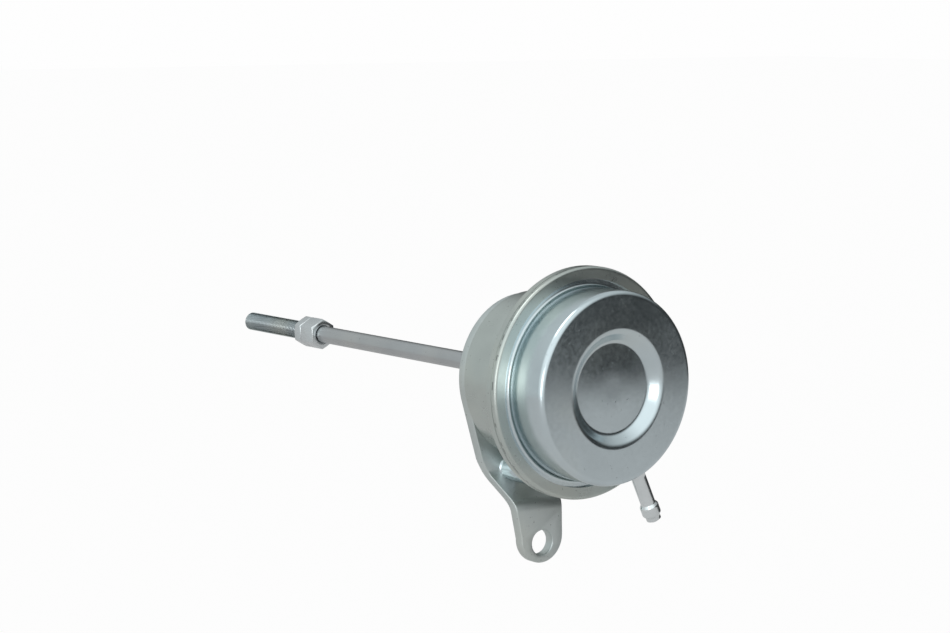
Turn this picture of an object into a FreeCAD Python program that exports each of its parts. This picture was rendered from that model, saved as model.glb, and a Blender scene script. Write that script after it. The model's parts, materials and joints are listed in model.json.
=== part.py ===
import FreeCAD, Part
import math
import os

os.makedirs("parts", exist_ok=True)

# Boost-pressure actuator of a small turbocharger: a pressed steel diaphragm can with
# a spring inside, a rod that pulls on the valve lever, and a bracket to bolt it down.
# Millimetres. X runs along the rod towards the can, Z is up. The origin is the centre
# of the bracket tab's hole, on the tab's rear face.

# Bracket
bracket_sheet = 3.0
plate_r = 21.5
joggle_depth = 6.1
joggle_top_drop = 26.1
joggle_end_drop = 34.7
joggle_bend_r = 3.5
tab_hole_r = 3.4
tab_half_width = 7.05
tab_end_drop = 44.1
hole_drop = 45.6
left_edge_lean = 16.4
left_waist_y = 15.7
left_waist_drop = 22.6
left_neck_y = 9.3
left_neck_drop = 33.7
left_edge_r = 9.0
right_edge_y = 6.6

# Rear can, whose edge is rolled over the cap's flange
can_sheet = 1.0
can_rear_r = 22.4
can_front_r = 23.0
can_length = 20.6
can_rear_corner_r = 1.2
can_flange_fillet_r = 1.0
rim_corner_r = 1.6
lip_gap = 0.3
lip_width = 4.1
vent_hole_r = 1.25
vent_from_flange = 8.0

# Front cap
cap_sheet = 1.0
cap_r = 25.5
cap_height = 12.4
cap_corner_r = 1.5
cap_crown = 0.4
cap_flange_fillet_r = 0.9
dish_rim_r = 15.0
dish_floor_r = 12.2
dish_depth = 2.5
dish_dome = 0.35
dish_dome_r = 5.0
dish_dome_blend_r = 90.0
dish_rim_round_r = 1.2
dish_floor_round_r = 1.4

# Diaphragm
diaphragm_sheet = 1.0
diaphragm_wall_clearance = 0.15
diaphragm_loop_from_seam = 4.2
diaphragm_shoulder_r = 2.3

# Piston and the pieces riveted to the rod's end
stroke = 12.0
rest_gap = 0.3
stop_gap = 0.5
rivet_head = 1.4
rivet_head_r = 3.6
rivet_head_round_r = 1.1
spigot_r = 2.0
front_washer_sheet = 0.8
front_washer_r = 6.0
seal_washer_sheet = 0.8
seal_washer_r = 5.4
pressure_plate_sheet = 1.0
pressure_plate_r = 15.4
pressure_plate_rim_r = 16.8
pressure_plate_rim = 2.2
pressure_plate_bend_r = 1.5
piston_sheet = 1.2
piston_r = 17.5
piston_corner_r = 2.0
backing_washer_sheet = 1.0
backing_washer_r = 8.0

# Spring and its seat
spring_wire = 2.5
spring_mean_r = 14.0
spring_turns = 5.0
spring_end_turns = 1.0
spring_sections_per_turn = 16
seat_sheet = 0.8
seat_wall_clearance = 1.6
seat_hat_clearance = 0.45
seat_hat_height = 3.4
seat_foot_bend_r = 1.2
seat_hat_round_r = 0.6
seat_hole_r = 8.8

# Rod guide
carrier_r = 6.5
carrier_flange_r = 8.4
carrier_flange = 1.6
carrier_tube_r = 5.6
carrier_nose = 5.0
carrier_nose_round_r = 0.6
swage_r = 8.0
swage = 1.2
boss_r = 6.4
boss = 2.4
bush_r = 4.0
bush_step_r = 3.2
bush_step = 0.6
wiper_r = 4.6
wiper_lip_slope = 0.6
wiper_lip = 0.6
wiper_cap_sheet = 0.5
wiper_cap_corner_r = 0.8
wiper_cap_skirt = 2.0
wiper_cap_hole_r = 3.2

# Rod and nuts
rod_r = 2.5
rod_thread_r = 2.45
rod_thread_pitch_r = 2.24
rod_reach = 142.2
thread_length = 40.2
rod_chamfer = 0.5
nut_across_flats = 8.0
adjusting_nut_length = 6.4
lock_nut_length = 3.4
nut_chamfer = 0.45
nut_chamfer_depth = 0.9
nut_countersink = 0.5

# Hose nipple, which leans from straight down towards +Y
nipple_lean = 25.0
nipple_from_lip = 7.1
nipple_r = 2.0
nipple_bore_r = 1.25
nipple_inside = 0.5
nipple_reach = 15.7
nipple_foot_r = 3.2
nipple_foot = 1.7
nipple_bead_r = 2.55
nipple_bead = 4.0
nipple_bead_slope = 0.8
nipple_bead_from_tip = 1.4
nipple_tip_round = 0.5

# Round pin that stands on the bracket beside the can
pin_r = 3.1
pin_lean = 14.6
pin_length = 12.0
pin_collar = 0.5
pin_edge_r = 0.6
pin_can_clearance = 0.15

# Fits
press_clearance = 0.02
running_clearance = 0.05

# Places along X that the driving sizes give
axis_z = hole_drop
lip_r = cap_r + cap_flange_fillet_r + lip_gap
flange_r = lip_r + lip_width
plate_front_x = bracket_sheet - joggle_depth
plate_rear_x = plate_front_x - bracket_sheet
flange_rear_x = plate_front_x + can_length
clamp_rear_x = flange_rear_x + can_sheet
clamp_front_x = clamp_rear_x + diaphragm_sheet
lip_rear_x = clamp_front_x + cap_sheet
clamped_r = flange_r - max(rim_corner_r, can_sheet)
flange_front_x = lip_rear_x + can_sheet
cap_face_x = flange_front_x + cap_height
dish_floor_x = cap_face_x - dish_depth
rod_front_x = dish_floor_x - cap_sheet - rest_gap
front_washer_x = rod_front_x - rivet_head - front_washer_sheet
seal_washer_x = front_washer_x - seal_washer_sheet
pressure_plate_x = seal_washer_x - pressure_plate_sheet
piston_front_x = pressure_plate_x - diaphragm_sheet
piston_head_x = piston_front_x - piston_sheet
backing_washer_x = piston_head_x - backing_washer_sheet
can_end_x = plate_front_x + can_sheet
seat_face_x = can_end_x + seat_sheet
seat_r = can_rear_r - can_sheet - seat_wall_clearance
skirt_end_x = seat_face_x + stop_gap + stroke
carrier_front_x = can_end_x + carrier_nose
boss_end_x = plate_rear_x - swage - boss
wiper_seat_x = boss_end_x + boss
thread_end_x = -rod_reach
thread_start_x = thread_end_x + thread_length
nuts_end_x = thread_start_x - adjusting_nut_length - lock_nut_length

Z_AXIS = FreeCAD.Vector(0, 0, 1)
X_AXIS = FreeCAD.Vector(1, 0, 0)
ORIGIN = FreeCAD.Vector(0, 0, 0)
AXIS_SHIFT = FreeCAD.Vector(0, 0, axis_z)


def at(x, r, round_r=0.0):
    """A point of a profile beside the rod's axis, and the radius that rounds it."""
    return FreeCAD.Vector(x, 0, r), round_r


def line(start, end):
    """One straight edge."""
    return Part.LineSegment(start, end).toShape()


def path_edges(points):
    """Edges of an open path of straight runs, with each inner point rounded."""
    edges = []
    start = points[0][0]
    for i in range(1, len(points) - 1):
        point, radius = points[i]
        if radius <= 0:
            edges.append(line(start, point))
            start = point
            continue
        back = (points[i - 1][0] - point).normalize()
        ahead = (points[i + 1][0] - point).normalize()
        half = back.getAngle(ahead) / 2
        run = radius / math.tan(half)
        towards_centre = (back + ahead).normalize()
        middle = point + towards_centre * (radius / math.sin(half) - radius)
        first = point + back * run
        if first.distanceToPoint(start) > 1e-5:
            edges.append(line(start, first))
        start = point + ahead * run
        edges.append(Part.Arc(first, middle, start).toShape())
    if start.distanceToPoint(points[-1][0]) > 1e-5:
        edges.append(line(start, points[-1][0]))
    return edges


def left_of(start, end):
    """The unit vector to the left of a run in the XZ plane."""
    along = (end - start).normalize()
    return FreeCAD.Vector(-along.z, 0, along.x)


def beside(points, distance):
    """The path moved to its left by a distance, with its corner radii to match."""
    places = [point for point, radius in points]
    sides = [left_of(places[i], places[i + 1]) for i in range(len(places) - 1)]
    moved = [(places[0] + sides[0] * distance, 0.0)]
    for i in range(1, len(places) - 1):
        before = sides[i - 1]
        after = sides[i]
        shift = (before + after) * (distance / (1 + before.dot(after)))
        turns_left = before.x * after.z - before.z * after.x > 0
        radius = points[i][1] - distance if turns_left else points[i][1] + distance
        moved.append((places[i] + shift, max(radius, 0.0)))
    moved.append((places[-1] + sides[-1] * distance, 0.0))
    return moved


def strip(points, thickness):
    """Flat face of sheet metal of even thickness on the left of a path."""
    other = beside(points, thickness)
    ends = [line(points[-1][0], other[-1][0]), line(other[0][0], points[0][0])]
    edges = path_edges(points) + [ends[0]] + path_edges(other[::-1]) + [ends[1]]
    return Part.Face(Part.Wire(edges))


def closed(points):
    """Flat face inside a closed path whose points may be rounded."""
    first = (points[-1][0] + points[0][0]) * 0.5
    ring = [(first, 0.0)] + points + [(first, 0.0)]
    return Part.Face(Part.Wire(path_edges(ring)))


def turned(face):
    """The face turned once round the X axis through the origin."""
    return face.revolve(ORIGIN, X_AXIS, 360)


def on_axis(solid):
    """The solid lifted from the X axis to the rod's axis."""
    return solid.translated(AXIS_SHIFT)


def pressed(points, thickness):
    """A pressed round shell of even thickness on the rod's axis."""
    return on_axis(turned(strip(points, thickness)))


def machined(points):
    """A turned piece on the rod's axis, from its closed half section."""
    return on_axis(turned(closed(points)))


def ring(rear_x, front_x, inner_r, outer_r):
    """A plain washer or tube on the rod's axis."""
    return machined([at(rear_x, inner_r), at(front_x, inner_r), at(front_x, outer_r), at(rear_x, outer_r)])


def rod_cylinder(rear_x, front_x, radius):
    """A plain cylinder on the rod's axis."""
    base = FreeCAD.Vector(rear_x, 0, axis_z)
    return Part.makeCylinder(radius, front_x - rear_x, base, X_AXIS)


def nipple_place(solid):
    """A solid made along +X, turned to point out of the cap's wall."""
    placed = solid.copy()
    placed.rotate(ORIGIN, FreeCAD.Vector(0, 1, 0), 90)
    placed.rotate(ORIGIN, X_AXIS, nipple_lean)
    placed.translate(FreeCAD.Vector(flange_front_x + nipple_from_lip, 0, axis_z))
    return placed


def make_front_cap():
    """Domed cap with a dished face and the flange that the can's edge grips."""
    cap = pressed([
        at(dish_floor_x + dish_dome, 0),
        at(dish_floor_x + dish_dome, dish_dome_r, dish_dome_blend_r),
        at(dish_floor_x, dish_floor_r, dish_floor_round_r),
        at(cap_face_x, dish_rim_r, dish_rim_round_r),
        at(cap_face_x - cap_crown, cap_r, cap_corner_r),
        at(lip_rear_x, cap_r, cap_flange_fillet_r),
        at(lip_rear_x, clamped_r),
    ], cap_sheet)
    hole = Part.makeCylinder(nipple_r + press_clearance, 2 * cap_r, ORIGIN, X_AXIS)
    return cap.cut(nipple_place(hole))


def make_rear_can():
    """Drawn can whose flange is rolled forward and in over the cap's flange."""
    can = pressed([
        at(plate_front_x, carrier_r + press_clearance),
        at(plate_front_x, can_rear_r, can_rear_corner_r),
        at(flange_rear_x, can_front_r, can_flange_fillet_r),
        at(flange_rear_x, flange_r, rim_corner_r),
        at(flange_front_x, flange_r, rim_corner_r),
        at(flange_front_x, lip_r),
    ], -can_sheet)
    vent_place = FreeCAD.Vector(flange_rear_x - vent_from_flange, 0, axis_z)
    vent = Part.makeCylinder(vent_hole_r, 2 * can_front_r, vent_place, Z_AXIS * -1)
    return can.cut(vent)


def make_diaphragm():
    """Rolling diaphragm: clamped rim, one loop between can and piston, flat head."""
    wall_r = can_rear_r - can_sheet - diaphragm_wall_clearance
    skirt_r = piston_r + press_clearance
    loop_r = (wall_r - skirt_r) / 2 - press_clearance
    loop_x = flange_rear_x - diaphragm_loop_from_seam
    return pressed([
        at(clamp_rear_x, clamped_r),
        at(clamp_rear_x, wall_r, diaphragm_shoulder_r),
        at(loop_x, wall_r, loop_r),
        at(loop_x, skirt_r, loop_r),
        at(piston_front_x, skirt_r, piston_corner_r),
        at(piston_front_x, spigot_r + press_clearance),
    ], diaphragm_sheet)


def make_piston_cup():
    """Pressed cup that carries the diaphragm and slides down over the spring."""
    return pressed([
        at(skirt_end_x, piston_r),
        at(piston_front_x, piston_r, piston_corner_r),
        at(piston_front_x, spigot_r + press_clearance),
    ], -piston_sheet)


def make_pressure_plate():
    """Dished disc that holds the diaphragm to the piston on the pressure side."""
    return pressed([
        at(pressure_plate_x + pressure_plate_rim, pressure_plate_rim_r),
        at(pressure_plate_x, pressure_plate_r, pressure_plate_bend_r),
        at(pressure_plate_x, spigot_r + press_clearance),
    ], pressure_plate_sheet)


def make_washer(rear_x, sheet, outer_r):
    """A washer on the rod's spigot."""
    return ring(rear_x, rear_x + sheet, spigot_r + press_clearance, outer_r)


def make_rod():
    """Rod with a riveted head at the piston and a thread at the free end.

    The thread is a plain cylinder: its crests where it is free, and its pitch
    radius where the nuts grip it.
    """
    return machined([
        at(thread_end_x, 0),
        at(thread_end_x, rod_thread_r - rod_chamfer),
        at(thread_end_x + rod_chamfer, rod_thread_r),
        at(nuts_end_x, rod_thread_r),
        at(nuts_end_x, rod_thread_pitch_r),
        at(thread_start_x, rod_thread_pitch_r),
        at(thread_start_x, rod_thread_r),
        at(thread_start_x + rod_chamfer, rod_r),
        at(backing_washer_x, rod_r),
        at(backing_washer_x, spigot_r),
        at(rod_front_x - rivet_head, spigot_r),
        at(rod_front_x - rivet_head, rivet_head_r),
        at(rod_front_x, rivet_head_r, rivet_head_round_r),
        at(rod_front_x, 0),
    ])


def coil_height(turn, length):
    """How far the wire's centre has climbed after some turns of the spring."""
    end_height = spring_wire * spring_end_turns
    if turn < spring_end_turns:
        return spring_wire * turn
    if turn > spring_turns - spring_end_turns:
        return length - spring_wire * (spring_turns - turn)
    active_turns = spring_turns - 2 * spring_end_turns
    return end_height + (length - 2 * end_height) * (turn - spring_end_turns) / active_turns


def wire_section(turn, length):
    """The round section of the spring's wire after some turns."""
    centre = FreeCAD.Vector(spring_mean_r, 0, 0)
    section = Part.Wire(Part.makeCircle(spring_wire / 2, centre, FreeCAD.Vector(0, 1, 0)))
    section.rotate(ORIGIN, Z_AXIS, 360 * turn)
    section.translate(FreeCAD.Vector(0, 0, coil_height(turn, length)))
    return section


def make_coil_spring():
    """Compression spring with closed, ground ends between seat and piston."""
    length = piston_head_x - seat_face_x
    count = round(spring_turns * spring_sections_per_turn)
    sections = [wire_section(i * spring_turns / count, length) for i in range(count + 1)]
    wire = Part.makeLoft(sections, True, True)
    ground = wire.common(Part.makeCylinder(spring_mean_r + spring_wire, length))
    ground.rotate(ORIGIN, FreeCAD.Vector(0, 1, 0), 90)
    return ground.translated(FreeCAD.Vector(seat_face_x, 0, axis_z))


def make_spring_seat():
    """Pressed seat with a raised middle that centres the spring."""
    hat_r = spring_mean_r - spring_wire / 2 - seat_hat_clearance
    inner_r = hat_r - seat_sheet
    return pressed([
        at(can_end_x, seat_r),
        at(can_end_x, inner_r, seat_foot_bend_r),
        at(can_end_x + seat_hat_height, inner_r, seat_hat_round_r),
        at(can_end_x + seat_hat_height, seat_hole_r),
    ], seat_sheet)


def make_bush_carrier():
    """Turned carrier, swaged behind the bracket so that it grips can and bracket."""
    return machined([
        at(carrier_front_x, bush_r),
        at(carrier_front_x, carrier_tube_r, carrier_nose_round_r),
        at(can_end_x + carrier_flange, carrier_tube_r),
        at(can_end_x + carrier_flange, carrier_flange_r),
        at(can_end_x, carrier_flange_r),
        at(can_end_x, carrier_r),
        at(plate_rear_x, carrier_r),
        at(plate_rear_x, swage_r),
        at(plate_rear_x - swage, boss_r),
        at(boss_end_x, boss_r, wiper_cap_corner_r - wiper_cap_sheet + press_clearance),
        at(boss_end_x, wiper_r),
        at(wiper_seat_x, wiper_r),
        at(wiper_seat_x, bush_step_r),
        at(wiper_seat_x + bush_step, bush_step_r),
        at(wiper_seat_x + bush_step, bush_r),
    ])


def make_guide_bush():
    """Plain bush that the rod slides in."""
    bore_r = rod_r + running_clearance
    return ring(wiper_seat_x + bush_step, carrier_front_x, bore_r, bush_r - press_clearance)


def make_rod_wiper():
    """Rubber ring that keeps dirt off the bush, with a lip at the rod."""
    lip_edge_r = rod_r + running_clearance
    outer = wiper_r - press_clearance
    return machined([
        at(wiper_seat_x, bush_step_r),
        at(wiper_seat_x, outer),
        at(boss_end_x, outer),
        at(boss_end_x, bush_step_r),
        at(boss_end_x + wiper_lip_slope, lip_edge_r),
        at(boss_end_x + wiper_lip_slope + wiper_lip, lip_edge_r),
    ])


def make_wiper_cap():
    """Pressed cap on the carrier's end that holds the wiper in."""
    outer_r = boss_r + press_clearance + wiper_cap_sheet
    return pressed([
        at(boss_end_x + wiper_cap_skirt, outer_r),
        at(boss_end_x - wiper_cap_sheet, outer_r, wiper_cap_corner_r),
        at(boss_end_x - wiper_cap_sheet, wiper_cap_hole_r),
    ], wiper_cap_sheet)


def bracket_outline():
    """Outline of the bracket in the plane of its plate: a pear round the can and tab."""
    lean = math.radians(left_edge_lean)
    left_start = (-plate_r * math.cos(lean), axis_z - plate_r * math.sin(lean))
    right_top_drop = math.sqrt(plate_r ** 2 - right_edge_y ** 2)
    right_top = (right_edge_y, axis_z - right_top_drop)
    tab_z = axis_z - tab_end_drop
    corners = [
        (left_start, 0.0),
        ((-left_waist_y, axis_z - left_waist_drop), left_edge_r),
        ((-left_neck_y, axis_z - left_neck_drop), left_edge_r),
        ((-tab_half_width, tab_z), 0.0),
    ]
    points = [(FreeCAD.Vector(0, y, z), radius) for (y, z), radius in corners]
    left_edges = path_edges(points)
    tab_left = FreeCAD.Vector(0, -tab_half_width, tab_z)
    tab_low = FreeCAD.Vector(0, 0, tab_z - tab_half_width)
    tab_right = FreeCAD.Vector(0, tab_half_width, tab_z)
    plate_top = FreeCAD.Vector(0, 0, axis_z + plate_r)
    top_right = FreeCAD.Vector(0, right_top[0], right_top[1])
    edges = left_edges + [
        Part.Arc(tab_left, tab_low, tab_right).toShape(),
        line(tab_right, top_right),
        Part.Arc(top_right, plate_top, points[0][0]).toShape(),
    ]
    return Part.Face(Part.Wire(edges))


def make_bracket():
    """Pear-shaped plate, joggled forward to the tab with the mounting hole."""
    top_z = axis_z + plate_r + bracket_sheet
    low_z = axis_z - tab_end_drop - tab_half_width - bracket_sheet
    side = strip([
        at(plate_front_x, top_z),
        at(plate_front_x, axis_z - joggle_top_drop, joggle_bend_r),
        at(bracket_sheet, axis_z - joggle_end_drop, joggle_bend_r + bracket_sheet),
        at(bracket_sheet, low_z),
    ], -bracket_sheet)
    width = 4 * plate_r
    bent = side.extrude(FreeCAD.Vector(0, width, 0))
    bent.translate(FreeCAD.Vector(0, -width / 2, 0))
    depth = 4 * (joggle_depth + bracket_sheet)
    blank = bracket_outline().extrude(FreeCAD.Vector(depth, 0, 0))
    blank.translate(FreeCAD.Vector(-depth / 2, 0, 0))
    plate = bent.common(blank)
    plate = plate.cut(rod_cylinder(-depth, depth, carrier_r + press_clearance))
    hole = Part.makeCylinder(tab_hole_r, 2 * depth, FreeCAD.Vector(-depth, 0, 0), X_AXIS)
    return plate.cut(hole)


def make_bracket_pin(bracket):
    """Round pin with a small collar that stands on the bracket, close to the can's wall."""
    root_x = plate_front_x - bracket_sheet / 2
    end_x = plate_front_x + pin_length
    collar_r = pin_r + pin_collar
    pin = turned(closed([
        at(root_x, 0),
        at(root_x, collar_r),
        at(plate_front_x, collar_r),
        at(plate_front_x + pin_collar, pin_r),
        at(end_x, pin_r, pin_edge_r),
        at(end_x, 0),
    ]))
    lean = math.radians(pin_lean)
    out = can_front_r + pin_can_clearance + pin_r
    pin.translate(FreeCAD.Vector(0, -out * math.sin(lean), axis_z - out * math.cos(lean)))
    pieces = pin.cut(bracket).Solids
    return max(pieces, key=lambda piece: piece.BoundBox.XMax)


def make_hose_nipple():
    """Beaded tube brazed into the cap's wall, with a small foot at the wall."""
    tip = cap_r + nipple_reach
    bead_top = tip - nipple_bead_from_tip
    bead_low = bead_top - nipple_bead
    tube = turned(closed([
        at(cap_r - cap_sheet - nipple_inside, nipple_bore_r),
        at(tip, nipple_bore_r),
        at(tip, nipple_r, nipple_tip_round),
        at(bead_top, nipple_r),
        at(bead_top - nipple_bead_slope, nipple_bead_r, nipple_tip_round),
        at(bead_low + nipple_bead_slope, nipple_bead_r, nipple_tip_round),
        at(bead_low, nipple_r),
        at(cap_r - cap_sheet - nipple_inside, nipple_r),
    ]))
    foot = turned(closed([
        at(cap_r - cap_sheet, nipple_bore_r),
        at(cap_r + nipple_foot, nipple_bore_r),
        at(cap_r + nipple_foot, nipple_r),
        at(cap_r, nipple_foot_r),
        at(cap_r - cap_sheet, nipple_foot_r),
    ]))
    wall = rod_cylinder(flange_front_x, cap_face_x, cap_r)
    return nipple_place(tube).fuse(nipple_place(foot).cut(wall)).removeSplitter()


def make_nut(front_x, length):
    """Hexagon nut on the rod's thread, with one corner straight up."""
    corner_r = nut_across_flats / math.sqrt(3)
    rear_x = front_x - length
    points = []
    for i in range(7):
        turn = math.radians(90 + 60 * i)
        y = corner_r * math.cos(turn)
        z = corner_r * math.sin(turn) + axis_z
        points.append(FreeCAD.Vector(rear_x, y, z))
    prism = Part.Face(Part.makePolygon(points)).extrude(FreeCAD.Vector(length, 0, 0))
    bore_r = rod_thread_pitch_r + running_clearance
    mouth_r = bore_r + nut_countersink
    face_r = corner_r - nut_chamfer_depth
    envelope = machined([
        at(rear_x + nut_countersink, bore_r),
        at(front_x - nut_countersink, bore_r),
        at(front_x, mouth_r),
        at(front_x, face_r),
        at(front_x - nut_chamfer, corner_r),
        at(rear_x + nut_chamfer, corner_r),
        at(rear_x, face_r),
        at(rear_x, mouth_r),
    ])
    return prism.common(envelope)


def build_nodes():
    """Every sub-part by name."""
    bracket = make_bracket()
    return {
        "front_cap": make_front_cap(),
        "rear_can": make_rear_can(),
        "bracket": bracket,
        "bracket_pin": make_bracket_pin(bracket),
        "hose_nipple": make_hose_nipple(),
        "bush_carrier": make_bush_carrier(),
        "guide_bush": make_guide_bush(),
        "rod_wiper": make_rod_wiper(),
        "wiper_cap": make_wiper_cap(),
        "spring_seat": make_spring_seat(),
        "coil_spring": make_coil_spring(),
        "diaphragm": make_diaphragm(),
        "piston_cup": make_piston_cup(),
        "pressure_plate": make_pressure_plate(),
        "seal_washer": make_washer(seal_washer_x, seal_washer_sheet, seal_washer_r),
        "front_washer": make_washer(front_washer_x, front_washer_sheet, front_washer_r),
        "backing_washer": make_washer(backing_washer_x, backing_washer_sheet, backing_washer_r),
        "rod": make_rod(),
        "adjusting_nut": make_nut(thread_start_x, adjusting_nut_length),
        "lock_nut": make_nut(thread_start_x - adjusting_nut_length, lock_nut_length),
    }


for name, shape in build_nodes().items():
    solid = shape.Solids[0]
    solid.exportStep("parts/" + name + ".step")
    box = solid.BoundBox
    print(name, len(shape.Solids), solid.isValid(), round(solid.Volume, 1),
          [round(v, 2) for v in (box.XMin, box.XMax, box.YMin, box.YMax, box.ZMin, box.ZMax)])
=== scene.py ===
import json
import math

import bmesh
import bpy
import numpy as np
from mathutils import Matrix, Vector


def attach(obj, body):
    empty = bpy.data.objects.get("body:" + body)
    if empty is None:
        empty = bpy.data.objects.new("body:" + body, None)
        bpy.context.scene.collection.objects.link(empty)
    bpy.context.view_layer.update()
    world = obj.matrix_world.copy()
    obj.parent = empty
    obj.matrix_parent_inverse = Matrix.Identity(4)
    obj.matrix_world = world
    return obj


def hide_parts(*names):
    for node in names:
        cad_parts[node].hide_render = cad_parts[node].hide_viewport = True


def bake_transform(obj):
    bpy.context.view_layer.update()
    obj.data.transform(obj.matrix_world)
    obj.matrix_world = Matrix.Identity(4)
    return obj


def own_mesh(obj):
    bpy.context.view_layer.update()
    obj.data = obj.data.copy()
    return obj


bl_info = {
    "name": "Boost actuator dresser",
    "version": (1, 0, 0),
    "blender": (4, 5, 0),
    "location": "View3D > Sidebar > Actuator",
    "description": "Zinc-plated shells, thread, nuts and bracket of a turbo actuator",
    "category": "Object",
}

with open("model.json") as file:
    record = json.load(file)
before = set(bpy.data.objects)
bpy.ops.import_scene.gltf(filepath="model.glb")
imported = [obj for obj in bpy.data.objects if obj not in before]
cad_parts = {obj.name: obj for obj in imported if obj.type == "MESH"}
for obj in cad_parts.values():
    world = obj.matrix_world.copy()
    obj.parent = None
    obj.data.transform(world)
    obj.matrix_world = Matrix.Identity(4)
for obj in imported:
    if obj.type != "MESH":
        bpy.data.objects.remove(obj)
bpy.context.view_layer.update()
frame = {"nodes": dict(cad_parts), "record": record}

MM = 0.001
AXIS_Z = 45.6

# Fineness of outlines and meshes: support points stand this far from an arc, in millimetres
SUPPORT = 0.25
ARC_STEP = math.radians(7)
LATHE_TURNS = 160
GUIDE_TURNS = 96
SLIM_TURNS = 64
VENT_TURNS = 32
SHARP_ANGLE = math.radians(38)
CREST_SHARP_ANGLE = math.radians(20)
BEVEL_ANGLE = math.radians(30)
FLAT_ANGLE = math.radians(1)

# Places along the rod's axis, from the thread's end to the cap's face, in millimetres
THREAD_END = -142.2
NUTS_END = -111.8
THREAD_START = -102.0
WIPER_CAP_END = -10.2
BOSS_END = -9.7
WIPER_CAP_START = -7.7
WIPER_SEAT = -7.3
BUSH_END = -6.7
PLATE_REAR = -6.1
PLATE_FRONT = -3.1
CARRIER_FLANGE_REAR = -2.1
CARRIER_FLANGE_FRONT = -0.5
CARRIER_NOSE = 2.9
VENT_X = 9.5
FLANGE_REAR = 17.5
SEAM_X = 19.9
MARKS_REAR = 20.25
LIP_REAR = 20.5
MARKS_FRONT = 20.7
FLANGE_FRONT = 21.5
SPIGOT_START = 22.9
NIPPLE_X = 28.6
HEAD_REAR = 28.7
HEAD_FRONT = 30.1
DISH_FLOOR = 31.4
CAP_FACE = 33.9

# Radii round the rod's axis, in millimetres
SPIGOT_RADIUS = 2.0
WIPER_LIP_RADIUS = 2.55
GUIDE_HOLE_RADIUS = 3.2
HEAD_RADIUS = 3.6
BUSH_HOLE_RADIUS = 4.0
POCKET_RADIUS = 4.6
CARRIER_NOSE_RADIUS = 5.6
BOSS_RADIUS = 6.4
SHANK_RADIUS = 6.5
CAN_HOLE_RADIUS = 6.52
WIPER_CAP_RADIUS = 6.92
CARRIER_FLANGE_RADIUS = 8.4
DISH_FLOOR_RADIUS = 12.2
CAN_REAR_RADIUS = 22.4
CAN_MOUTH_RADIUS = 23.0

# Small reliefs of the shells and of the rim, in millimetres
DISH_CROWN = 0.35
CAP_FALL = 0.4
VENT_RADIUS = 1.25
VENT_TOP = 19.0
VENT_FOOT = 26.0
SEAM_WIDTH = 0.22
SEAM_DEPTH = 0.12
MARKS_BAND = 0.5
WIPER_CAP_SHEET = 0.5
CREST_SUNK = 0.02

# The nipple's lean, and places along its own axis and radii round it, in millimetres
NIPPLE_LEAN = math.radians(25)
NIPPLE_FOOT = 24.0
BRAZE_FOOT = 24.9
BEAD_START = 36.6
BEAD_END = 39.0
NIPPLE_END = 41.2
NIPPLE_BORE = 1.25
NIPPLE_TUBE = 2.0
NIPPLE_BEAD = 2.55

# Cells of noise in a metre, and how the rolled lines stretch along the rod
CLOUDS = 90
TURNED_CLOUDS = 160
WARM_PATCHES = 45
ROLLED_LINES = 900
LINE_STRETCH = (0.06, 1, 1)
RING_STRETCH = (1, 0.01, 0.01)
FINE_GRAIN = 5200
TURNED_GRAIN = 6000
SPECKS = 1500

# The photograph's camera: its axes, and its offset from the flange's centre in millimetres
CAMERA_RIGHT = Vector((0.60753, 0.79429, 0.0))
CAMERA_UP = Vector((-0.09883, 0.07559, 0.99223))
CAMERA_BACK = Vector((0.78812, -0.60281, 0.12442))
CAMERA_OFFSET = Vector((496.94, -416.31, 98.79))
FLANGE_CENTRE = Vector((20.4, 0.0, AXIS_Z))
LENS = 94.74
SENSOR = 36.0

# The stage: lengths in metres, and brightness where 1 is white
FLOOR_Z = -0.045
FLOOR_HALF = 6.0
FLOOR_SEEN = 0.98
FLOOR_REFLECTED = 0.1
WALL_DISTANCE = 0.64
WALL_PALE = 0.66
WALL_DARK = 0.05
WALL_AHEAD = 0.5
WALL_TINT = (0.94, 0.99, 1.0, 1.0)
ROOM_LIGHT = 0.6
SEEN_WHITE = 0.99
LAMP_AIM = (0.0, 0.0, 0.045)
LAMPS = (
    # name, place, width, height, radiance
    ("top_box", (0.0, -0.2, 0.55), 0.3, 0.3, 1.5),
    ("front_box", (0.43, -0.44, 0.07), 0.34, 0.24, 1.3),
)


def size(name, text, value):
    """A length that a user may set, in metres."""
    return bpy.props.FloatProperty(
        name=name, description=text, default=value, subtype="DISTANCE", unit="LENGTH"
    )


def tint(name, text, value):
    """A colour that a user may set."""
    return bpy.props.FloatVectorProperty(name=name, description=text, default=value, subtype="COLOR", size=3)


class ActuatorSizes(bpy.types.PropertyGroup):
    """Sizes that the dressed pieces use."""

    sheet: size("Shell sheet", "Thickness of the pressed cap and can", 0.001)
    cap_radius: size("Cap radius", "Outer radius of the cap's wall", 0.0255)
    flange_radius: size("Flange radius", "Outer radius of the rolled flange", 0.0308)
    lip_radius: size("Lip radius", "Inner edge of the rolled lip", 0.0275)
    rim_corner: size("Rim corner", "Outer rounding of the rolled rim", 0.0008)
    dish_radius: size("Dish radius", "Radius of the dish's rim in the cap's face", 0.015)
    rod_radius: size("Rod radius", "Radius of the plain rod", 0.0025)
    thread_radius: size("Thread radius", "Outer radius of the rod's thread", 0.00245)
    thread_pitch: size("Thread pitch", "Distance between the thread's crests", 0.0008)
    thread_depth: size("Thread depth", "Height of the thread's crest", 0.00014)
    bevel: size("Edge bevel", "Softened edge of stamped and cut metal", 0.0002)


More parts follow.
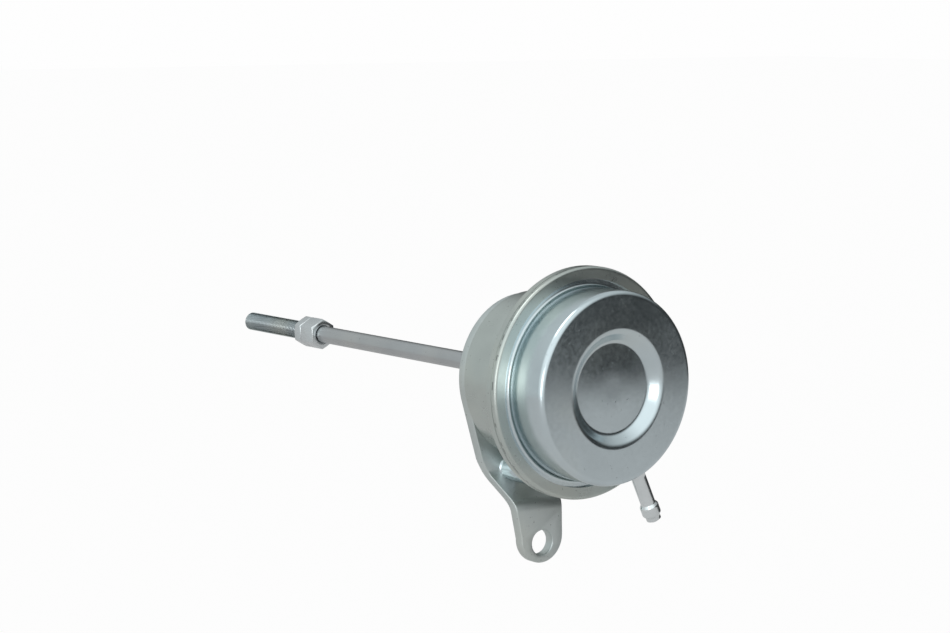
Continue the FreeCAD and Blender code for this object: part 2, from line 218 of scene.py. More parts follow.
class ActuatorColours(bpy.types.PropertyGroup):
    """Colours of the finishes."""

    cap: tint("Cap", "Bright zinc of the cap", (0.62, 0.70, 0.73))
    can: tint("Can", "Zinc of the rolled can", (0.53, 0.575, 0.55))
    bracket: tint("Bracket", "Matt zinc of the bracket", (0.60, 0.65, 0.64))
    rod: tint("Rod", "Zinc of the rod", (0.49, 0.51, 0.52))
    nut: tint("Nuts", "Zinc of the nuts", (0.66, 0.69, 0.70))
    # Lighter than the cap's and the rod's zinc: polish on the nipple, and a painted sheen that stands in for
    # the bright streaks of light on the nipple and the thread
    bright: tint("Bright zinc", "Polished zinc of the nipple and the thread", (0.80, 0.84, 0.85))
    turned: tint("Turned steel", "Bush carrier", (0.62, 0.62, 0.60))
    pressed: tint("Pressed steel", "Spring seat, pressure plate and washers", (0.52, 0.52, 0.50))
    spring: tint("Spring", "Drawn spring wire", (0.22, 0.22, 0.23))
    bronze: tint("Bronze", "Sintered guide bush", (0.42, 0.26, 0.13))
    aluminium: tint("Aluminium", "Pressed piston", (0.75, 0.76, 0.77))
    rubber: tint("Rubber", "Wiper and diaphragm rubber", (0.02, 0.02, 0.02))


class Socket:
    """A shader output that takes part in expressions, each of which adds a Math node."""

    def __init__(self, tree, link):
        self.tree = tree
        self.link = link

    def math(self, operation, *values):
        """A Math node of that operation on the values."""
        node = self.tree.nodes.new("ShaderNodeMath")
        node.operation = operation
        for socket, value in zip(node.inputs, values):
            if isinstance(value, Socket):
                self.tree.links.new(value.link, socket)
            else:
                socket.default_value = value
        return Socket(self.tree, node.outputs[0])

    def __add__(self, other):
        return self.math("ADD", self, other)

    def __radd__(self, other):
        return self.math("ADD", other, self)

    def __sub__(self, other):
        return self.math("SUBTRACT", self, other)

    def __rsub__(self, other):
        return self.math("SUBTRACT", other, self)

    def __mul__(self, other):
        return self.math("MULTIPLY", self, other)

    def __rmul__(self, other):
        return self.math("MULTIPLY", other, self)

    def least(self, other):
        """The smaller of two values."""
        return self.math("MINIMUM", self, other)

    def most(self, other):
        """The larger of two values."""
        return self.math("MAXIMUM", self, other)

    def root(self):
        """The square root."""
        return self.math("SQRT", self)

    def above(self, edge, width):
        """0 below the edge and 1 above it, with a soft step of that width."""
        spread = (self - edge) * (1 / width)
        return spread.most(0.0).least(1.0)


class Shader:
    """Builds one node material."""

    def __init__(self, name):
        self.material = bpy.data.materials.new(name)
        self.material.use_nodes = True
        self.tree = self.material.node_tree
        self.surface = self.tree.nodes["Principled BSDF"]
        self.output = self.tree.nodes["Material Output"]
        self.place = self.tree.nodes.new("ShaderNodeTexCoord").outputs["Object"]

    def node(self, kind, settings=None, inputs=None, output=0):
        """A node of any type: its settings first, then the values or links of its sockets."""
        node = self.tree.nodes.new(kind)
        for name, value in (settings or {}).items():
            setattr(node, name, value)
        for name, value in (inputs or {}).items():
            self.feed(node.inputs[name], value)
        return Socket(self.tree, node.outputs[output])

    def feed(self, socket, value):
        """Sets a socket's value or links something to it."""
        if isinstance(value, Socket):
            self.tree.links.new(value.link, socket)
        elif isinstance(value, bpy.types.NodeSocket):
            self.tree.links.new(value, socket)
        else:
            socket.default_value = value

    def parts(self):
        """The X, Y and Z of the object coordinates."""
        split = self.tree.nodes.new("ShaderNodeSeparateXYZ")
        self.feed(split.inputs[0], self.place)
        return [Socket(self.tree, output) for output in split.outputs]

    def noise(self, scale, detail=2.0, stretch=(1, 1, 1)):
        """Noise of about that many cells in a metre, on object coordinates scaled unevenly."""
        place = self.node("ShaderNodeMapping", {}, {"Vector": self.place, "Scale": stretch})
        return self.node("ShaderNodeTexNoise", {}, {"Vector": place, "Scale": scale, "Detail": detail})

    def blend(self, factor, first, second):
        """A colour between two others."""
        mix = self.tree.nodes.new("ShaderNodeMix")
        mix.data_type = "RGBA"
        self.feed(mix.inputs["Factor"], factor)
        colours = [socket for socket in mix.inputs if socket.type == "RGBA"]
        for socket, value in zip(colours, (first, second)):
            self.feed(socket, value if isinstance(value, Socket) else (*value, 1.0))
        outputs = [socket for socket in mix.outputs if socket.type == "RGBA"]
        return Socket(self.tree, outputs[0])

    def bump(self, height, distance):
        """The normal of a height pattern of that depth in metres."""
        return self.node("ShaderNodeBump", {}, {"Height": height, "Distance": distance})

    def paint(self, **values):
        """Sets the surface's sockets, where an underscore stands for a space."""
        for name, value in values.items():
            self.feed(self.surface.inputs[name.replace("_", " ")], value)
        return self.material

    def show(self, shown):
        """Links another shader to the material's output."""
        self.feed(self.output.inputs["Surface"], shown)


def shade(colour, amount):
    """The colour made lighter or darker."""
    return tuple(min(1.0, channel * amount) for channel in colour)


def plated(name, colour, rough, grain, speck, marks=None):
    """Zinc plate: cloudy tone, rolling grain, fine scratches, a few dark specks and any marks."""
    shader = Shader(name)
    clouds = shader.noise(CLOUDS, 3)
    warm = shader.noise(WARM_PATCHES, 2)
    lines = shader.noise(ROLLED_LINES, 3, LINE_STRETCH)
    fine = shader.noise(FINE_GRAIN, 2)
    spots = shader.noise(SPECKS, 2).above(1 - speck, 0.03)
    tone = shader.blend(clouds.above(0.3, 0.4), shade(colour, 0.93), shade(colour, 1.05))
    warmer = (colour[0] * 1.05, colour[1], colour[2] * 0.93)
    toned = shader.blend(warm.above(0.45, 0.25) * 0.5, tone, warmer)
    dark = spots * 0.6
    if marks:
        dark = dark.most(marks(shader) * 0.75)
    spotted = shader.blend(dark, toned, shade(colour, 0.35))
    roughness = rough + (clouds - 0.5) * 0.12 + (lines - 0.5) * 0.14 + spots * 0.2
    normal = shader.bump(lines * 0.5 + fine * 0.5, grain)
    return shader.paint(Base_Color=spotted, Metallic=1.0, Roughness=roughness, Normal=normal)


def turned_metal(name, colour, rough, rings_in_a_metre):
    """Turned metal: fine rings along the rod's axis, with a cloudy tone."""
    shader = Shader(name)
    clouds = shader.noise(TURNED_CLOUDS, 3)
    rings = shader.noise(rings_in_a_metre, 2, RING_STRETCH)
    fine = shader.noise(TURNED_GRAIN, 2)
    tone = shader.blend(clouds.above(0.3, 0.4), shade(colour, 0.9), shade(colour, 1.06))
    roughness = rough + (clouds - 0.5) * 0.12 + (rings - 0.5) * 0.12
    normal = shader.bump(rings * 0.6 + fine * 0.4, 0.00001)
    return shader.paint(Base_Color=tone, Metallic=1.0, Roughness=roughness, Normal=normal)


def moulded_rubber(name, colour):
    """Matt moulded rubber with dust in its grain."""
    shader = Shader(name)
    grain = shader.noise(3000, 3)
    dust = shader.noise(260, 3).above(0.55, 0.2)
    tone = shader.blend(dust * 0.3, colour, (0.09, 0.085, 0.08))
    normal = shader.bump(grain, 0.00002)
    return shader.paint(Base_Color=tone, Roughness=0.62 + dust * 0.15, Normal=normal)


def rim_marks(shader):
    """Mask of the small dark crimp marks beside the rolled rim's front corner."""
    x, y, z = shader.parts()
    up = z - AXIS_Z * MM
    radius = (y * y + up * up).root()
    rim = bpy.context.scene.actuator_sizes.flange_radius
    outside = radius.above(rim - MARKS_BAND * MM, 0.0001)
    band = x.above(MARKS_REAR * MM, 0.0001) * (1 - x.above(MARKS_FRONT * MM, 0.0001))
    broken = shader.noise(420, 3, (0.4, 1, 1)).above(0.52, 0.05)
    return outside * band * broken


# Each finish's colour, roughness, grain depth in metres, share of specks and any marks
PLATED = {
    "cap_zinc": ("cap", 0.2, 0.000006, 0.27),
    "can_zinc": ("can", 0.3, 0.00001, 0.3, rim_marks),
    "bracket_zinc": ("bracket", 0.4, 0.000016, 0.3),
    "rod_zinc": ("rod", 0.32, 0.00001, 0.28),
    "nut_zinc": ("nut", 0.27, 0.00001, 0.28),
    # The nipple's and the thread's zinc is made lighter: partly polish, partly a painted sheen in place of
    # their bright streaks of light
    "bright_zinc": ("bright", 0.15, 0.000003, 0.26),
}
# Each finish's colour, roughness and rings in a metre
TURNED = {
    "bright_steel": ("turned", 0.3, 2600),
    "inner_steel": ("pressed", 0.38, 1500),
    "spring_steel": ("spring", 0.42, 1200),
    "bronze": ("bronze", 0.45, 1800),
    "aluminium": ("aluminium", 0.35, 1500),
}
MOULDED = {"rubber": ("rubber",)}
FINISHES = {}


def finish(name):
    """The shared material of that finish, made when it is first asked for."""
    if name not in FINISHES:
        colours = bpy.context.scene.actuator_colours
        for table, maker in ((PLATED, plated), (TURNED, turned_metal), (MOULDED, moulded_rubber)):
            if name in table:
                colour, *numbers = table[name]
                FINISHES[name] = maker(name, tuple(getattr(colours, colour)), *numbers)
    return FINISHES[name]


def unit(vector):
    """The vector at length 1."""
    return vector / np.linalg.norm(vector)


def corner_arc(before, here, after, radius):
    """The points of an arc of that radius that rounds the corner here."""
    back = unit(before - here)
    ahead = unit(after - here)
    half = math.acos(max(-1.0, min(1.0, float(back @ ahead)))) / 2
    centre = here + unit(back + ahead) * radius / math.sin(half)
    first = here + back * radius / math.tan(half) - centre
    turn = math.pi - 2 * half
    sign = 1 if first[0] * ahead[1] - first[1] * ahead[0] > 0 else -1
    steps = max(2, math.ceil(turn / ARC_STEP))
    arc = []
    for step in range(steps + 1):
        angle = sign * turn * step / steps
        cos, sin = math.cos(angle), math.sin(angle)
        spun = (first[0] * cos - first[1] * sin, first[0] * sin + first[1] * cos)
        arc.append(centre + np.array(spun))
    return arc


def rounded(points):
    """An outline through (x, r, rounding) points in millimetres, with arcs and support points."""
    places = [np.array(point[:2], float) for point in points]
    runs = []
    for i, (_, _, radius) in enumerate(points):
        if radius <= 0 or i in (0, len(points) - 1):
            runs.append([places[i]])
        else:
            runs.append(corner_arc(places[i - 1], places[i], places[i + 1], radius))
    outline = []
    for run in runs:
        if outline:
            start, end = outline[-1], run[0]
            length = np.linalg.norm(end - start)
            if length > 4 * SUPPORT:
                along = (end - start) / length
                outline += [start + along * SUPPORT, end - along * SUPPORT]
        outline += run
    return [outline[0]] + [b for a, b in zip(outline, outline[1:]) if np.linalg.norm(b - a) > 1e-4]


def beside(points, distance):
    """A path of (x, r, rounding) points moved to its left, with its roundings to match."""
    places = [np.array(point[:2], float) for point in points]
    along = [unit(b - a) for a, b in zip(places, places[1:])]
    sides = [np.array((-way[1], way[0])) for way in along]
    moved = [(*(places[0] + sides[0] * distance), 0.0)]
    for i in range(1, len(places) - 1):
        before, after = sides[i - 1], sides[i]
        shift = (before + after) * distance / (1 + float(before @ after))
        turns_left = before[0] * after[1] - before[1] * after[0] > 0
        radius = points[i][2] - distance if turns_left else points[i][2] + distance
        moved.append((*(places[i] + shift), max(radius, 0.0)))
    moved.append((*(places[-1] + sides[-1] * distance), 0.0))
    return moved


def shell_outline(path, thickness):
    """Closed outline of sheet metal on the left of a path."""
    return rounded(path) + rounded(beside(path, thickness))[::-1]


def add_piece(name, mesh):
    """A new object at the origin that shows the mesh."""
    piece = bpy.data.objects.new(name, mesh)
    bpy.context.scene.collection.objects.link(piece)
    return piece


def shade_smooth(mesh, sharp=SHARP_ANGLE):
    """Shades a mesh smooth, apart from edges that turn by more than that angle."""
    mesh.shade_smooth()
    mesh.set_sharp_from_angle(angle=sharp)


def turn_outward(mesh, merge=1e-7, flat=None):
    """Merges doubles, joins faces that turn by less than any flat angle, and turns faces outwards."""
    work = bmesh.new()
    work.from_mesh(mesh)
    bmesh.ops.remove_doubles(work, verts=work.verts, dist=merge)
    if flat:
        bmesh.ops.dissolve_limit(work, angle_limit=flat, verts=work.verts, edges=work.edges)
    bmesh.ops.recalc_face_normals(work, faces=work.faces)
    work.to_mesh(mesh)
    work.free()


def on_rod_axis(x, r, turn):
    """The place of a profile point turned round the rod's axis, in metres."""
    return (x * MM, r * math.cos(turn) * MM, (AXIS_Z + r * math.sin(turn)) * MM)


def lathe(name, outline, place=on_rod_axis, turns=LATHE_TURNS):
    """Turns a closed outline of (x, r) points round an axis into a closed, smooth piece."""
    vertices = []
    rings = []
    for x, r in outline:
        if r < 1e-6:
            rings.append([len(vertices)] * turns)
            vertices.append(place(x, 0.0, 0.0))
            continue
        rings.append(list(range(len(vertices), len(vertices) + turns)))
        vertices += [place(x, r, 2 * math.pi * k / turns) for k in range(turns)]
    faces = []
    for first, second in zip(rings, rings[1:] + rings[:1]):
        for k in range(turns):
            after = (k + 1) % turns
            corners = [first[k], first[after], second[after], second[k]]
            face = list(dict.fromkeys(corners))
            if len(face) > 2:
                faces.append(face)
    mesh = bpy.data.meshes.new(name)
    mesh.from_pydata(vertices, [], faces)
    turn_outward(mesh)
    shade_smooth(mesh)
    return add_piece(name, mesh)


def applied(piece):
    """The piece with its modifiers turned into plain mesh."""
    bpy.context.view_layer.update()
    graph = bpy.context.evaluated_depsgraph_get()
    mesh = bpy.data.meshes.new_from_object(piece.evaluated_get(graph))
    piece.modifiers.clear()
    piece.data = mesh
    return piece


def cut_from(piece, cutter):
    """Cuts one closed mesh from another, and deletes the cutter."""
    cut = piece.modifiers.new("cut", "BOOLEAN")
    cut.operation = "DIFFERENCE"
    cut.solver = "EXACT"
    cut.object = cutter
    applied(piece)
    bpy.data.objects.remove(cutter)
    shade_smooth(piece.data)


def node_copy(node, name, merge=1e-7, flat=None):
    """A merged copy of a CAD node's mesh, as a piece of its own."""
    mesh = frame["nodes"][node].data.copy()
    mesh.name = name
    turn_outward(mesh, merge, flat)
    return add_piece(name, mesh)


def merged_copy(node, name):
    """A smooth copy of a CAD node."""
    piece = node_copy(node, name)
    shade_smooth(piece.data)
    return piece


def softened_copy(node, name, width):
    """A copy of a CAD node with its hard edges bevelled."""
    piece = node_copy(node, name, 2e-6, FLAT_ANGLE)
    bevel = piece.modifiers.new("edges", "BEVEL")
    bevel.width = width
    bevel.segments = 3
    bevel.limit_method = "ANGLE"
    bevel.angle_limit = BEVEL_ANGLE
    bevel.harden_normals = True
    piece.data.shade_smooth()
    return applied(piece)


def dress(piece, body, finish_name, *nodes, slot=None):
    """Gives a piece its finish, lets it ride on its body, if it has one, and stand for CAD nodes."""
    piece.data.materials.clear()
    piece.data.materials.append(finish(finish_name))
    if body:
        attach(piece, body)
    if nodes:
        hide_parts(*nodes)


class ACTUATOR_OT_cap(bpy.types.Operator):
    """Front cap with its dished face"""

    bl_idname = "actuator.cap"
    bl_label = "Front cap"

    def execute(self, context):
        sizes = context.scene.actuator_sizes
        sheet = sizes.sheet / MM
        wall = sizes.cap_radius / MM
        rim = sizes.dish_radius / MM
        clamped = sizes.flange_radius / MM - 1.1 * sheet
        path = [
            (DISH_FLOOR + DISH_CROWN, 0, 0),
            (DISH_FLOOR + DISH_CROWN, 5.0, 90.0),
            (DISH_FLOOR, DISH_FLOOR_RADIUS, 1.4),
            (CAP_FACE, rim, 2.2),
            (CAP_FACE - CAP_FALL, wall, 1.5),
            (LIP_REAR, wall, 0.9),
            (LIP_REAR, clamped, 0),
        ]
        cap = lathe("cap_shell", shell_outline(path, sheet))
        dress(cap, "housing", "cap_zinc", "front_cap")
        return {"FINISHED"}


def below_axis(drop, r, turn):
    """The place of a profile point turned round the vent's axis, which hangs from the rod's axis."""
    return ((VENT_X + r * math.cos(turn)) * MM, r * math.sin(turn) * MM, (AXIS_Z - drop) * MM)


class ACTUATOR_OT_can(bpy.types.Operator):
    """Rear can, rolled over the cap's flange, with its vent hole and the rim's seam"""

    bl_idname = "actuator.can"
    bl_label = "Rear can"

    def execute(self, context):
        sizes = context.scene.actuator_sizes
        flange = sizes.flange_radius / MM
        corner = sizes.rim_corner / MM
        path = [
            (PLATE_FRONT, CAN_HOLE_RADIUS, 0),
            (PLATE_FRONT, CAN_REAR_RADIUS, 1.2),
            (FLANGE_REAR, CAN_MOUTH_RADIUS, 1.0),
            (FLANGE_REAR, flange, corner),
            (FLANGE_FRONT, flange, corner),
            (FLANGE_FRONT, sizes.lip_radius / MM, 0),
        ]
        can = lathe("can_shell", shell_outline(path, -sizes.sheet / MM))
        vent = [(VENT_TOP, 0), (VENT_TOP, VENT_RADIUS), (VENT_FOOT, VENT_RADIUS), (VENT_FOOT, 0)]
        cut_from(can, lathe("vent_cutter", vent, below_axis, VENT_TURNS))
        floor = flange - SEAM_DEPTH
        clear = flange + 1.0
        front = SEAM_X + SEAM_WIDTH
        seam = [(SEAM_X, floor), (front, floor), (front, clear), (SEAM_X, clear)]
        cut_from(can, lathe("seam_cutter", seam))
        dress(can, "housing", "can_zinc", "rear_can")
        return {"FINISHED"}


class ACTUATOR_OT_bracket(bpy.types.Operator):
    """Joggled bracket and the round pin on it"""

    bl_idname = "actuator.bracket"
    bl_label = "Bracket"

    def execute(self, context):
        bevel = context.scene.actuator_sizes.bevel
        bracket = softened_copy("bracket", "bracket_plate", 2 * bevel)
        dress(bracket, "housing", "bracket_zinc", "bracket")
        pin = softened_copy("bracket_pin", "bracket_stud", bevel)
        dress(pin, "housing", "cap_zinc", "bracket_pin")
        return {"FINISHED"}


def on_nipple_axis(along, r, turn):
    """The place of a profile point turned round the nipple's leaning axis, in metres."""
    out = Vector((0, math.sin(NIPPLE_LEAN), -math.cos(NIPPLE_LEAN)))
    side = Vector((1, 0, 0))
    spot = Vector((NIPPLE_X, 0, AXIS_Z)) + out * along
    spot = spot + side * (r * math.cos(turn)) + out.cross(side) * (r * math.sin(turn))
    return tuple(spot * MM)


class ACTUATOR_OT_nipple(bpy.types.Operator):
    """Beaded hose nipple with its braze fillet"""

    bl_idname = "actuator.nipple"
    bl_label = "Hose nipple"

    def execute(self, context):
        outline = rounded([
            (NIPPLE_FOOT, NIPPLE_BORE, 0),
            (NIPPLE_FOOT, NIPPLE_TUBE, 0),
            (BRAZE_FOOT, NIPPLE_TUBE, 0),
            (BRAZE_FOOT, 3.3, 0),
            (BRAZE_FOOT + 0.6, 3.2, 0.5),
            (BRAZE_FOOT + 1.0, 2.35, 0.6),
            (BRAZE_FOOT + 2.5, NIPPLE_TUBE, 1.5),
            (BEAD_START - 0.8, NIPPLE_TUBE, 0.3),
            (BEAD_START, NIPPLE_BEAD, 0.6),
            (BEAD_END, NIPPLE_BEAD, 0.6),
            (BEAD_END + 0.8, NIPPLE_TUBE - 0.02, 0.4),
            (NIPPLE_END, NIPPLE_TUBE, 0.45),
            (NIPPLE_END, NIPPLE_BORE, 0),
        ])
        nipple = lathe("nipple_tube", outline, on_nipple_axis, SLIM_TURNS)
        # The nipple's lighter zinc is partly polish and partly a painted sheen
        dress(nipple, "housing", "bright_zinc", "hose_nipple", slot="cap_zinc")
        return {"FINISHED"}


class ACTUATOR_OT_guide(bpy.types.Operator):
    """Swaged bush carrier, its cap and the rod wiper"""

    bl_idname = "actuator.guide"
    bl_label = "Rod guide"

    def execute(self, context):
        carrier = rounded([
            (CARRIER_NOSE, BUSH_HOLE_RADIUS, 0),
            (CARRIER_NOSE, CARRIER_NOSE_RADIUS, 0.6),
            (CARRIER_FLANGE_FRONT, CARRIER_NOSE_RADIUS, 0),
            (CARRIER_FLANGE_FRONT, CARRIER_FLANGE_RADIUS, 0),
            (CARRIER_FLANGE_REAR, CARRIER_FLANGE_RADIUS, 0),
            (CARRIER_FLANGE_REAR, SHANK_RADIUS, 0),
            (PLATE_REAR, SHANK_RADIUS, 0),
            (PLATE_REAR, SHANK_RADIUS + 1.5, 0.3),
            (WIPER_SEAT, SHANK_RADIUS + 0.5, 0.4),
            (WIPER_SEAT, BOSS_RADIUS, 0),
            (BOSS_END, BOSS_RADIUS, 0.3),
            (BOSS_END, POCKET_RADIUS, 0),
            (WIPER_SEAT, POCKET_RADIUS, 0),
            (WIPER_SEAT, GUIDE_HOLE_RADIUS, 0),
            (BUSH_END, GUIDE_HOLE_RADIUS, 0),
            (BUSH_END, BUSH_HOLE_RADIUS, 0),
        ])
        body = lathe("guide_carrier", carrier, turns=GUIDE_TURNS)
        dress(body, "housing", "bright_steel", "bush_carrier")
        skirt = [
            (WIPER_CAP_START, WIPER_CAP_RADIUS, 0),
            (WIPER_CAP_END, WIPER_CAP_RADIUS, 0.8),
            (WIPER_CAP_END, GUIDE_HOLE_RADIUS, 0),
        ]
        cap = lathe("guide_cap", shell_outline(skirt, WIPER_CAP_SHEET), turns=GUIDE_TURNS)
        dress(cap, "housing", "can_zinc", "wiper_cap")
        ring = rounded([
            (WIPER_SEAT, GUIDE_HOLE_RADIUS, 0),
            (WIPER_SEAT, POCKET_RADIUS - 0.02, 0),
            (BOSS_END, POCKET_RADIUS - 0.02, 0),
            (BOSS_END, GUIDE_HOLE_RADIUS, 0),
            (BOSS_END + 0.6, WIPER_LIP_RADIUS, 0.15),
            (BOSS_END + 1.2, WIPER_LIP_RADIUS, 0.15),
            (WIPER_SEAT, GUIDE_HOLE_RADIUS - 0.05, 0),
        ])
        wiper = lathe("wiper_ring", ring, turns=SLIM_TURNS)
        dress(wiper, "housing", "rubber", "rod_wiper")
        return {"FINISHED"}


THREAD_INPUTS = (
    ("Turns", "NodeSocketFloat"),
    ("Core radius", "NodeSocketFloat"),
    ("Length", "NodeSocketFloat"),
    ("Crest width", "NodeSocketFloat"),
    ("Crest top", "NodeSocketFloat"),
    ("Crest height", "NodeSocketFloat"),
    ("Steps", "NodeSocketInt"),
    ("Finish", "NodeSocketMaterial"),
)


def thread_tree():
    """Geometry nodes that sweep a thread's crest along a spiral and give it a finish."""
    tree = bpy.data.node_groups.new("thread_crest", "GeometryNodeTree")
    for name, kind in THREAD_INPUTS:
        tree.interface.new_socket(name=name, in_out="INPUT", socket_type=kind)
    tree.interface.new_socket(name="Mesh", in_out="OUTPUT", socket_type="NodeSocketGeometry")
    given = tree.nodes.new("NodeGroupInput")
    result = tree.nodes.new("NodeGroupOutput")
    spiral = tree.nodes.new("GeometryNodeCurveSpiral")
    crest = tree.nodes.new("GeometryNodeCurvePrimitiveQuadrilateral")
    crest.mode = "TRAPEZOID"
    crest.inputs["Offset"].default_value = 0.0
    upright = tree.nodes.new("GeometryNodeSetCurveNormal")
    upright.mode = "Z_UP"
    sweep = tree.nodes.new("GeometryNodeCurveToMesh")
    sweep.inputs["Fill Caps"].default_value = True
    realize = tree.nodes.new("GeometryNodeRealizeInstances")
    paint = tree.nodes.new("GeometryNodeSetMaterial")
    for source, output, target, entry in (
        (given, "Turns", spiral, "Rotations"),
        (given, "Steps", spiral, "Resolution"),
        (given, "Core radius", spiral, "Start Radius"),
        (given, "Core radius", spiral, "End Radius"),
        (given, "Length", spiral, "Height"),
        (given, "Crest width", crest, "Bottom Width"),
        (given, "Crest top", crest, "Top Width"),
        (given, "Crest height", crest, "Height"),
        (spiral, "Curve", upright, "Curve"),
        (upright, "Curve", sweep, "Curve"),
        (crest, "Curve", sweep, "Profile Curve"),
        (sweep, "Mesh", realize, "Geometry"),
        (realize, "Geometry", paint, "Geometry"),
        (given, "Finish", paint, "Material"),
        (paint, "Geometry", result, "Mesh"),
    ):
        tree.links.new(source.outputs[output], target.inputs[entry])
    return tree


def set_inputs(modifier, values):
    """Sets a geometry nodes modifier's inputs by their sockets' identifiers."""
    for item in modifier.node_group.interface.items_tree:
        if item.item_type == "SOCKET" and item.in_out == "INPUT":
            modifier[item.identifier] = values[item.name]


class ACTUATOR_OT_rod(bpy.types.Operator):
    """Rod with its riveted head, and the thread's crests on its free end"""

    bl_idname = "actuator.rod"
    bl_label = "Rod and thread"

    def execute(self, context):
        sizes = context.scene.actuator_sizes
        plain = sizes.rod_radius / MM
        depth = sizes.thread_depth / MM
        core = sizes.thread_radius / MM - depth
        outline = rounded([
            (THREAD_END, 0, 0),
            (THREAD_END, core - 0.25, 0.1),
            (THREAD_END + 0.4, core, 0.1),
            (THREAD_START - 0.5, core, 0.2),
            (THREAD_START, plain - 0.1, 0.1),
            (THREAD_START + 0.4, plain, 0.2),
            (SPIGOT_START, plain, 0),
            (SPIGOT_START, SPIGOT_RADIUS, 0),
            (HEAD_REAR, SPIGOT_RADIUS, 0),
            (HEAD_REAR, HEAD_RADIUS, 0),
            (HEAD_FRONT, HEAD_RADIUS, 1.1),
            (HEAD_FRONT, 0, 0),
        ])
        rod = lathe("rod_bar", outline, turns=SLIM_TURNS)
        dress(rod, "piston_rod", "rod_zinc", "rod")
        length = (NUTS_END - THREAD_END) * MM
        thread = add_piece("rod_thread", bpy.data.meshes.new("rod_thread"))
        nodes = thread.modifiers.new("thread", "NODES")
        nodes.node_group = thread_tree()
        # The crests get a lighter zinc than the rod they are cut on: a painted sheen in place of the
        # thread's bright streaks of light
        set_inputs(nodes, {
            "Turns": length / sizes.thread_pitch,
            "Core radius": (core + depth / 2 - CREST_SUNK) * MM,
            "Length": length,
            "Crest width": sizes.thread_pitch * 0.95,
            "Crest top": sizes.thread_pitch * 0.66,
            "Crest height": sizes.thread_depth,
            "Steps": 36,
            "Finish": finish("bright_zinc"),
        })
        applied(thread)
        start = Vector(((THREAD_END + 0.5) * MM, 0, AXIS_Z * MM))
        along_rod = Matrix.Rotation(math.radians(90), 4, "Y")
        thread.data.transform(Matrix.Translation(start) @ along_rod)
        turn_outward(thread.data)
        shade_smooth(thread.data, CREST_SHARP_ANGLE)
        # Painted sheen: the thread is shown lighter than the rod's zinc
        dress(thread, "piston_rod", "bright_zinc", slot="rod_zinc")
        return {"FINISHED"}


class ACTUATOR_OT_nuts(bpy.types.Operator):
    """Adjusting nut and lock nut with softened edges"""

    bl_idname = "actuator.nuts"
    bl_label = "Nuts"

    def execute(self, context):
        bevel = context.scene.actuator_sizes.bevel
        for node in ("adjusting_nut", "lock_nut"):
            nut = softened_copy(node, node + "_body", 0.7 * bevel)
            dress(nut, node, "nut_zinc", node, slot="rod_zinc")
        return {"FINISHED"}


class ACTUATOR_OT_inside(bpy.types.Operator):
    """Spring and diaphragm copied from their CAD nodes, and the finishes of the pieces in the can"""

    bl_idname = "actuator.inside"
    bl_label = "Inner pieces"

    def execute(self, context):
        spring = merged_copy("coil_spring", "spring_wire")
        dress(spring, "housing", "spring_steel", "coil_spring")
        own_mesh(spring)
        sheet = merged_copy("diaphragm", "diaphragm_sheet")
        dress(sheet, None, "rubber", "diaphragm")
        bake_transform(sheet)
        slots = {row["node"]: row["material_slot"] for row in frame["record"]["subparts"]}
        for node, piece in frame["nodes"].items():
            if piece.hide_render:
                continue
            material = finish(slots[node])
            if not piece.material_slots:
                piece.data.materials.append(material)
            for slot in piece.material_slots:
                slot.material = material
        return {"FINISHED"}


def make_camera():
    """The camera at the photograph's place, 95 mm long on a 36 mm sensor."""
    data = bpy.data.cameras.new("camera")
    data.lens = LENS
    data.sensor_width = SENSOR
    data.clip_start = 0.01
    camera = add_piece("camera", data)
    place = (FLANGE_CENTRE + CAMERA_OFFSET) * MM
    turn = Matrix((CAMERA_RIGHT, CAMERA_UP, CAMERA_BACK)).transposed().to_4x4()
    camera.matrix_world = Matrix.Translation(place) @ turn
    bpy.context.scene.camera = camera


def ray_kinds(tree):
    """Whether a ray comes from the camera, from a glossy surface or through a clear one."""
    path = tree.nodes.new("ShaderNodeLightPath")
    names = ("Is Camera Ray", "Is Glossy Ray", "Is Transmission Ray")
    return [Socket(tree, path.outputs[name]) for name in names]


def make_floor():
    """A large pale floor that looks white to the camera and keeps the shadow."""
    far = FLOOR_HALF
    corners = [(-far, -far, FLOOR_Z), (far, -far, FLOOR_Z), (far, far, FLOOR_Z), (-far, far, FLOOR_Z)]
    mesh = bpy.data.meshes.new("floor")
    mesh.from_pydata(corners, [], [(0, 1, 2, 3)])
    floor = add_piece("floor", mesh)
    shader = Shader("floor_paper")
    grain = shader.noise(40, 2)
    tone = shader.blend(grain * 0.1, (0.72, 0.72, 0.72), (0.69, 0.69, 0.69))
    shader.paint(Base_Color=tone, Roughness=0.9)
    camera, glossy, through = ray_kinds(shader.tree)
    seen = (camera + through) * FLOOR_SEEN + glossy * FLOOR_REFLECTED
    white = {"Color": (1, 1, 1, 1), "Strength": SEEN_WHITE}
    glow = shader.node("ShaderNodeEmission", {}, white)
    shader.show(shader.node("ShaderNodeMixShader", {}, {0: seen, 1: shader.surface.outputs[0], 2: glow}))
    mesh.materials.append(shader.material)


def make_walls():
    """Grey studio walls that only reflections see: pale, with a dark low wall on the +Y side."""
    bpy.ops.mesh.primitive_uv_sphere_add(segments=64, ring_count=32, radius=WALL_DISTANCE)
    walls = bpy.context.object
    walls.name = "studio_walls"
    walls.data.transform(Matrix.Translation((0, 0, AXIS_Z * MM)))
    walls.visible_camera = False
    walls.visible_diffuse = False
    walls.visible_transmission = False
    walls.visible_shadow = False
    shader = Shader("studio_wall_paint")
    x, y, z = shader.parts()
    up = z - AXIS_Z * MM
    per_metre = 1 / WALL_DISTANCE
    dark = (y * per_metre).above(0.1, 0.4) * (1 - (up * per_metre).above(0.3, 0.45))
    ahead = ((x * 0.6 - y * 0.6 + up * 0.5) * per_metre).above(0.35, 0.5)
    strength = WALL_PALE - dark * (WALL_PALE - WALL_DARK) + ahead * WALL_AHEAD
    shader.show(shader.node("ShaderNodeEmission", {}, {"Color": WALL_TINT, "Strength": strength}))
    walls.data.materials.append(shader.material)


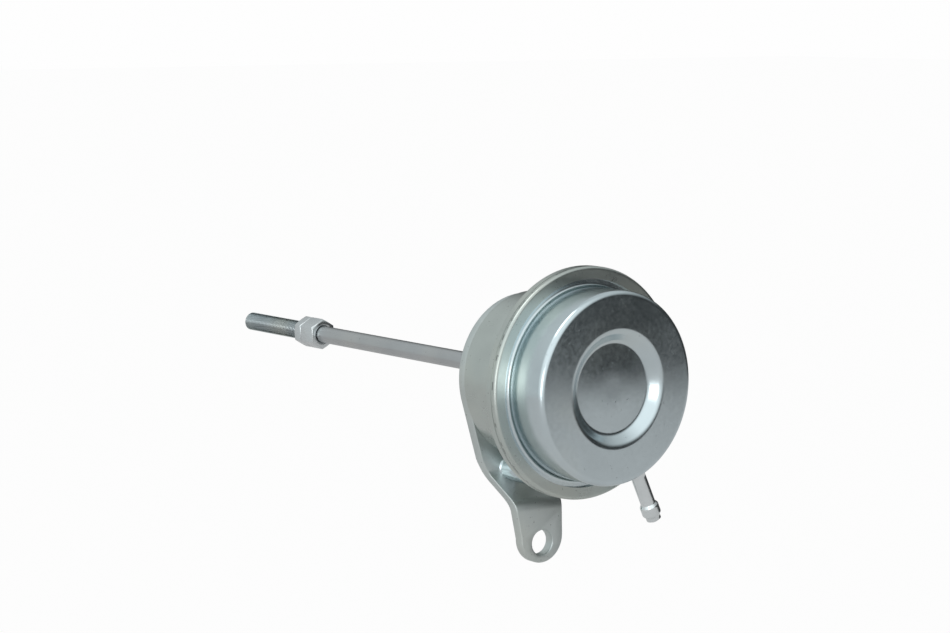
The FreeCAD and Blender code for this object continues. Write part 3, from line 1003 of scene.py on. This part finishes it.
def make_world():
    """An even room that is white to the camera and in reflections."""
    world = bpy.data.worlds.new("studio")
    world.use_nodes = True
    tree = world.node_tree
    background = tree.nodes["Background"]
    camera, glossy, through = ray_kinds(tree)
    seen = (camera + glossy + through).least(1.0)
    strength = ROOM_LIGHT + seen * (SEEN_WHITE - ROOM_LIGHT)
    background.inputs["Color"].default_value = (1.0, 1.0, 1.0, 1.0)
    tree.links.new(strength.link, background.inputs["Strength"])
    bpy.context.scene.world = world


def make_lamp(name, place, width, height, radiance):
    """A soft box in metres that points at the part and is that bright on its face."""
    data = bpy.data.lights.new(name, "AREA")
    data.shape = "RECTANGLE"
    data.size = width
    data.size_y = height
    data.energy = radiance * math.pi * width * height
    lamp = add_piece(name, data)
    way = Vector(LAMP_AIM) - Vector(place)
    turn = way.to_track_quat("-Z", "Y").to_matrix().to_4x4()
    lamp.matrix_world = Matrix.Translation(place) @ turn
    lamp.visible_camera = False


class ACTUATOR_OT_stage(bpy.types.Operator):
    """Camera, pale floor, grey walls for the metal, white room and soft boxes"""

    bl_idname = "actuator.stage"
    bl_label = "Stage"

    def execute(self, context):
        context.scene.view_settings.view_transform = "Standard"
        make_camera()
        make_floor()
        make_walls()
        make_world()
        for lamp in LAMPS:
            make_lamp(*lamp)
        return {"FINISHED"}


class ACTUATOR_PT_panel(bpy.types.Panel):
    """Panel that lists the sizes, the colours and the pieces"""

    bl_idname = "ACTUATOR_PT_panel"
    bl_label = "Boost actuator"
    bl_space_type = "VIEW_3D"
    bl_region_type = "UI"
    bl_category = "Actuator"

    def draw(self, context):
        layout = self.layout
        for group in (context.scene.actuator_sizes, context.scene.actuator_colours):
            for name in group.__annotations__:
                layout.prop(group, name)
        for operator in OPERATORS:
            layout.operator(operator.bl_idname)


OPERATORS = (
    ACTUATOR_OT_cap,
    ACTUATOR_OT_can,
    ACTUATOR_OT_bracket,
    ACTUATOR_OT_nipple,
    ACTUATOR_OT_guide,
    ACTUATOR_OT_rod,
    ACTUATOR_OT_nuts,
    ACTUATOR_OT_inside,
    ACTUATOR_OT_stage,
)
CLASSES = (ActuatorSizes, ActuatorColours, *OPERATORS, ACTUATOR_PT_panel)


def register():
    """Adds the classes and the scene's properties."""
    for entry in CLASSES:
        bpy.utils.register_class(entry)
    bpy.types.Scene.actuator_sizes = bpy.props.PointerProperty(type=ActuatorSizes)
    bpy.types.Scene.actuator_colours = bpy.props.PointerProperty(type=ActuatorColours)


def unregister():
    """Removes what register added."""
    del bpy.types.Scene.actuator_colours
    del bpy.types.Scene.actuator_sizes
    for entry in reversed(CLASSES):
        bpy.utils.unregister_class(entry)


def main():
    """Dresses the whole actuator."""
    register()
    bpy.ops.actuator.cap()
    bpy.ops.actuator.can()
    bpy.ops.actuator.bracket()
    bpy.ops.actuator.nipple()
    bpy.ops.actuator.guide()
    bpy.ops.actuator.rod()
    bpy.ops.actuator.nuts()
    bpy.ops.actuator.inside()
    bpy.ops.actuator.stage()
    bpy.context.view_layer.update()


if __name__ == "__main__":
    main()
